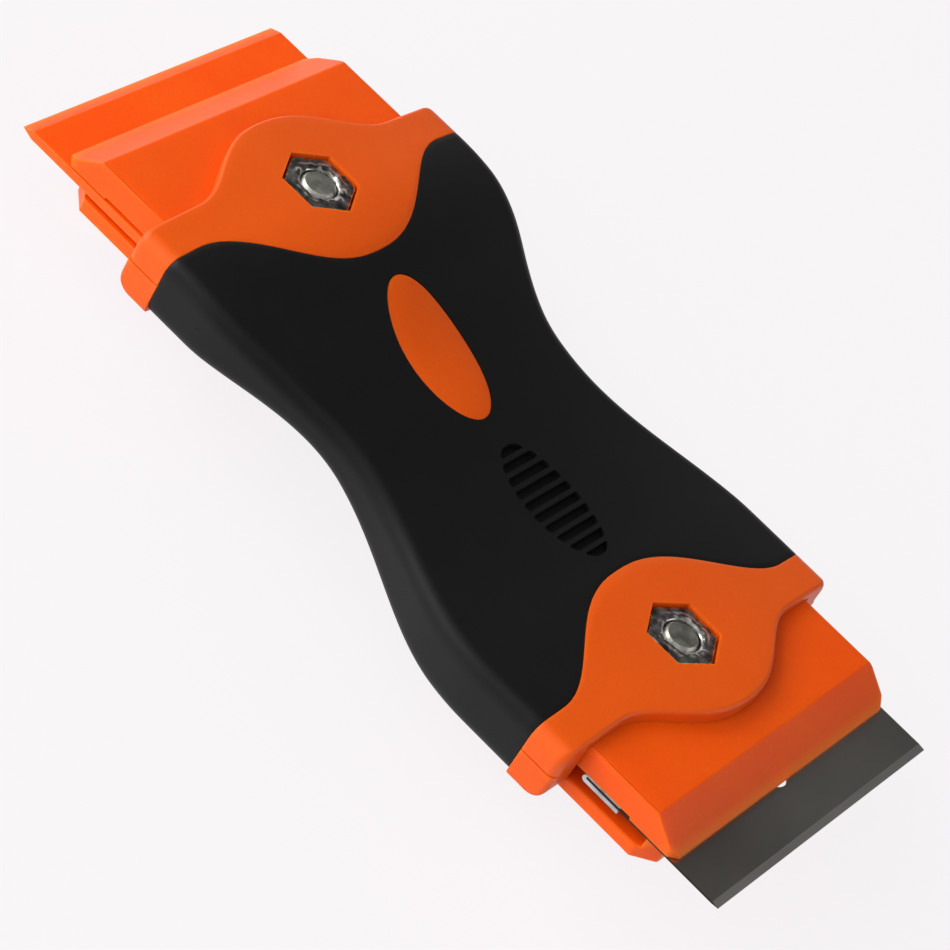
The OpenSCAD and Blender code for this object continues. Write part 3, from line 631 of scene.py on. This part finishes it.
# The window pad, which stands on the shell and fills the oval window of the grip
def addPad(bm):
    rings, turnN = [], pad["turnN"]
    for share, inset, drop in padProfile():
        ring = []
        for i in range(turnN if share else 1):
            a = 2 * math.pi * i / turnN
            x = pad["x"] + ((pad["halfL"] - pad["gap"]) * share - inset) * math.cos(a)
            y = ((pad["halfW"] - pad["gap"]) * share - inset) * math.sin(a)
            w = halfWidth(x) - handle["edgeR"]
            crown = handle["topCrown"] + handle["waistDome"] * waist(x)
            ring.append(bm.verts.new((x, y, topZ(x) - crown * (y / w) ** 2 + pad["rise"] - drop)))
        rings.append(ring)
    for a, b in zip(rings, rings[1:]):
        for i in range(turnN):
            if len(a) == 1:
                bm.faces.new((a[0], b[i], b[(i + 1) % turnN]))
            else:
                bm.faces.new((a[i], b[i], b[(i + 1) % turnN], a[(i + 1) % turnN]))
    bm.faces.new(rings[-1])


# Cuts the round holes for the shell screws' heads, from below up to topOf(x)
def cutHeadHoles(piece, topOf):
    for x in (-fixing["x"], fixing["x"]):
        bm = bmesh.new()
        outline = oval(x, 0, fixing["headR"], fixing["headR"], fixing["turnN"])
        addPrism(bm, outline, cutterReach["under"], topOf(x))
        cutWith(piece, bm)


upperShell = halfBody("upperShell", True)
bm = bmesh.new()
addPad(bm)
cutWith(upperShell, bm, "UNION")
for side in (-1, 1):
    bm = bmesh.new()
    addPrism(bm, hexagon(pocket["flats"]), -pocket["depth"], cutterReach["pocket"], endPlace(side))
    cutWith(upperShell, bm)
layDown(upperShell, shellPolypropylene, "upper_shell")

lowerShell = halfBody("lowerShell", False)
cutHeadHoles(lowerShell, lambda x: underZ(x) + fixing["sink"] + fixing["headH"])
layDown(lowerShell, shellPolypropylene, "lower_shell")
print("shells made")

slots = dict(n=10, pitch=1.54, width=1.001, longest=7.5, ovalShare=0.98, round=0.3, depth=0.7, x=10.302,
             steps=(0, 0.03, 0.08, 0.15, 0.3, 0.5, 0.7, 0.85, 0.92, 0.97, 1))  # closer where the ends turn
mark = dict(x=-22.6, size=0.8, depth=0.5, share=0.48, outside=2, turnN=24)


# Half length of a slot at u from the middle of the group and d from the slot's own side
def slotReach(u, d):
    far = 1 - min(1, d / slots["round"])
    half = 2 * u / (slots["n"] * slots["pitch"] * slots["ovalShare"])
    return (slots["longest"] / 2 * math.sqrt(max(0, 1 - half * half))
            - slots["round"] * (1 - math.sqrt(1 - far * far)))


upperGrip = halfBody("upperGrip", True)
bm = bmesh.new()
window = oval(pad["x"], 0, pad["halfL"], pad["halfW"], pad["turnN"])
addPrism(bm, window, -cutterReach["over"], cutterReach["over"])
cutWith(upperGrip, bm)
bm = bmesh.new()
for i in range(slots["n"]):
    mid = (i - (slots["n"] - 1) / 2) * slots["pitch"]
    line = [(mid + (t - 0.5) * slots["width"], slots["width"] * min(t, 1 - t)) for t in slots["steps"]]
    line = [(slots["x"] + u, slotReach(u, d)) for u, d in line]
    slotFloor = topZ(slots["x"] + mid) - slots["depth"]
    addPrism(bm, [(x, -y) for x, y in line] + line[::-1], slotFloor, cutterReach["over"])
cutWith(upperGrip, bm)
layDown(upperGrip, gripRubber, "upper_grip")

lowerGrip = halfBody("lowerGrip", False)
cutHeadHoles(lowerGrip, lambda x: 0)
bm = bmesh.new()
markZ = topZ(mark["x"]) - (topZ(mark["x"]) - underZ(mark["x"])) * mark["share"]
markPlace = Matrix.Translation((mark["x"], -halfWidth(mark["x"]), markZ))
markDisc = oval(0, 0, mark["size"] / 2, mark["size"] / 2, mark["turnN"])
addPrism(bm, markDisc, -mark["outside"], mark["depth"], markPlace @ Matrix.Rotation(-math.pi / 2, 4, "X"))
cutWith(lowerGrip, bm)
layDown(lowerGrip, gripRubber, "lower_grip")
print("grips made")

# Stamped hexagon nut: a raised ring round the thread and a burred, uneven rim
nut = dict(flats=7.44, thick=3.2, sink=0.33, holeR=2.05, ringRise=0.14, rimDrop=0.22, cornerCut=0.10,
           footBevel=0.2, rimShare=0.3, turnN=96, crease=50)
# Two noises make the burrs, each read at a place of its own for either end, and they grow towards the rim
burrs = dict(size=0.11, coarseRate=1.5, coarseAt=(7, 3), coarseShare=0.6, fineRate=4, fineAt=(3, 5),
             fineShare=0.4, onFace=0.5, atRim=1.6, outward=0.8, ringEven=0.9, ringUneven=1.1)
# Share of the way from the thread to the flank, and height over the top face, in ring rises where above 0
nutTop = [(0.0, -0.35), (0.03, -0.16), (0.10, -0.03), (0.2, 0.5), (0.28, 0.9), (0.36, 1.0), (0.44, 0.75),
          (0.53, 0.3), (0.62, 0.05), (0.72, 0), (0.82, 0), (0.9, -0.01), (0.95, -0.06), (0.985, -0.14),
          (1.0, -nut["rimDrop"])]
nutFoot = [(1.0, -nut["thick"] + nut["footBevel"]), (0.95, -nut["thick"]), (0.0, -nut["thick"])]


def burrNoise(x, y, side, rate, at):
    return noise.noise(Vector((x * rate + side * at[0], y * rate, side * at[1])))


def nutPoint(side, a, share, rise, onTop):
    half = nut["flats"] / 2
    off = (a % (math.pi / 3)) - math.pi / 6  # flats face the sixths of a turn, corners lie along x
    flank = min(half / math.cos(off), half * 2 / math.sqrt(3) - nut["cornerCut"])
    r = nut["holeR"] + (flank - nut["holeR"]) * share
    z = rise
    if onTop:
        x, y = r * math.cos(a), r * math.sin(a)
        coarse = burrNoise(x, y, side, burrs["coarseRate"], burrs["coarseAt"])
        fine = burrNoise(x, y, side, burrs["fineRate"], burrs["fineAt"])
        edge = max(0, share - (1 - nut["rimShare"])) / nut["rimShare"]
        if rise > 0:
            z *= nut["ringRise"] * (burrs["ringEven"] + burrs["ringUneven"] * coarse)
        height = (coarse * burrs["coarseShare"] + fine * burrs["fineShare"]) * burrs["size"]
        z += height * (burrs["onFace"] + burrs["atRim"] * edge)
        r += fine * burrs["size"] * burrs["outward"] * edge
    return Vector((r * math.cos(a), r * math.sin(a), z - nut["sink"]))


def addNut(name, side, node):
    bm = bmesh.new()
    turnN, rings = nut["turnN"], []
    for number, (share, rise) in enumerate(nutTop + nutFoot):
        rings.append([bm.verts.new(nutPoint(side, 2 * math.pi * i / turnN, share, rise, number < len(nutTop)))
                      for i in range(turnN)])
    for ring, after in zip(rings, rings[1:] + rings[:1]):
        for i in range(turnN):
            bm.faces.new((ring[i], after[i], after[(i + 1) % turnN], ring[(i + 1) % turnN]))
    bmesh.ops.transform(bm, matrix=toolMatrix @ endPlace(side), verts=bm.verts)
    bmesh.ops.recalc_face_normals(bm, faces=bm.faces)
    piece = newPiece(name, bm)
    smoothed(piece, nut["crease"])
    dress(piece, frame["nodes"][node]["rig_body"], nutZinc, node)


softWidths = dict(jaw=0.4, plasticBlade=0.05, knob=0.35, washer=0.1, screw=0.1, spine=0.05, shellScrews=0.06)
for end, title, side in (("plastic_end", "plasticEnd", -1), ("steel_end", "steelEnd", 1)):
    softened(end + "_upper_jaw", title + "UpperJaw", jawPolypropylene, softWidths["jaw"])
    softened(end + "_lower_jaw", title + "LowerJaw", jawPolypropylene, softWidths["jaw"])
    addNut(title + "Nut", side, end + "_nut")
    softened(end + "_screw", title + "Screw", screwZinc, softWidths["screw"])
    softened(end + "_washer", title + "Washer", screwZinc, softWidths["washer"])
    softened(end + "_knob", title + "Knob", knobNylon, softWidths["knob"])
softened("plastic_blade", "plasticBlade", bladeAcetal, softWidths["plasticBlade"],
         segments=2, angle=14, crease=9)
softened("steel_blade", "steelBlade", bladeSteel, 0, crease=4)
softened("steel_blade_spine", "steelBladeSpine", spineSteel, softWidths["spine"])
softened("shell_screws", "shellScrews", screwZinc, softWidths["shellScrews"])
print("pieces made")

# The sky has its levels by side and by height, and the heights, as the sine of the angle up, where it changes
studio = dict(floorHex="#FAF7F9", floorHalf=8, ownWhite=0.9, skyLeft=1.25, skyRight=0.5, skyLow=0.95,
              skyHigh=0.07, skyFrom=0.05, skyTo=0.36, camera=(0.058962, -0.286036, 0.270918),
              turn=(38.77073, -30.97091, 43.89017), lens=144.129, sensor=36)
lamps = [  # name, place, size, watts
    ("overheadSoftbox", (0.00, -0.35, 0.80), 1.2, 2.6),
    ("frontSoftbox", (-0.30, -0.90, 0.45), 0.9, 8.2),
    ("leftSoftbox", (-0.60, -0.20, 0.28), 0.4, 3.2),
    ("rightSoftbox", (0.62, 0.35, 0.40), 0.4, 1.3)]
lampTarget = Vector((0, 0, 0.01))


# Pale matt board: most of what the camera and mirrors see is its own paper white,
# and the rest is the lamplight on it
def makePaperBoard():
    material = bpy.data.materials.new("paperBoardMatt")
    material.use_nodes = True
    tree = material.node_tree
    tree.nodes.clear()
    rays = addNode(tree, "ShaderNodeLightPath")
    seen = addNode(tree, "ShaderNodeMath", {"operation": "MAXIMUM"},
                   {0: rays.outputs["Is Camera Ray"], 1: rays.outputs["Is Glossy Ray"]})
    seen = addNode(tree, "ShaderNodeMath", {"operation": "MAXIMUM"},
                   {0: seen.outputs[0], 1: rays.outputs["Is Transmission Ray"]})
    share = addNode(tree, "ShaderNodeMath", {"operation": "MULTIPLY", 1: studio["ownWhite"]},
                    {0: seen.outputs[0]})
    paper = addNode(tree, "ShaderNodeBsdfDiffuse", {"Color": linear(studio["floorHex"])})
    white = addNode(tree, "ShaderNodeEmission", {"Color": linear(studio["floorHex"]), "Strength": 1.0})
    mixed = addNode(tree, "ShaderNodeMixShader", {},
                    {0: share.outputs[0], 1: paper.outputs[0], 2: white.outputs[0]})
    addNode(tree, "ShaderNodeOutputMaterial", {}, {"Surface": mixed.outputs[0]})
    return material


half = studio["floorHalf"]
floorMesh = bpy.data.meshes.new("floor")
floorCorners = [(-half, -half, 0), (half, -half, 0), (half, half, 0), (-half, half, 0)]
floorMesh.from_pydata(floorCorners, [], [(0, 1, 2, 3)])
floorMesh.materials.append(makePaperBoard())
floor = bpy.data.objects.new("floor", floorMesh)
bpy.context.scene.collection.objects.link(floor)

world = bpy.data.worlds.new("studioWorld")
bpy.context.scene.world = world
world.use_nodes = True
tree = world.node_tree
direction = addNode(tree, "ShaderNodeTexCoord").outputs["Generated"]
height = addNode(tree, "ShaderNodeSeparateXYZ", {}, {0: direction})
# pale at the horizon, dim overhead, and brighter on the plastic blade's side
level = addNode(tree, "ShaderNodeMapRange",
                {"From Min": studio["skyFrom"], "From Max": studio["skyTo"], "To Min": studio["skyLow"],
                 "To Max": studio["skyHigh"], "interpolation_type": "SMOOTHSTEP"},
                {"Value": height.outputs[2]})
sideLevel = addNode(tree, "ShaderNodeMapRange",
                    {"From Min": -1, "From Max": 1,
                     "To Min": studio["skyLeft"], "To Max": studio["skyRight"]},
                    {"Value": height.outputs[0]})
level = addNode(tree, "ShaderNodeMath", {"operation": "MULTIPLY"},
                {0: level.outputs[0], 1: sideLevel.outputs[0]})
background = tree.nodes["Background"]
background.inputs["Color"].default_value = linear(studio["floorHex"])
tree.links.new(level.outputs[0], background.inputs["Strength"])

for name, place, size, watts in lamps:
    data = bpy.data.lights.new(name, "AREA")
    data.size, data.energy = size, watts
    lamp = bpy.data.objects.new(name, data)
    lamp.location = place
    lamp.rotation_euler = (lampTarget - Vector(place)).to_track_quat("-Z", "Y").to_euler()
    lamp.visible_glossy = name != "frontSoftbox"  # the grip's long edge would mirror it as a pale strip
    bpy.context.scene.collection.objects.link(lamp)

cameraData = bpy.data.cameras.new("camera")
cameraData.lens, cameraData.sensor_width = studio["lens"], studio["sensor"]
cameraData.clip_start, cameraData.clip_end = 0.01, 50
camera = bpy.data.objects.new("camera", cameraData)
camera.location = studio["camera"]
camera.rotation_euler = [math.radians(a) for a in studio["turn"]]
bpy.context.scene.collection.objects.link(camera)
bpy.context.scene.camera = camera
bpy.context.scene.view_settings.view_transform = "Standard"
print("studio made")
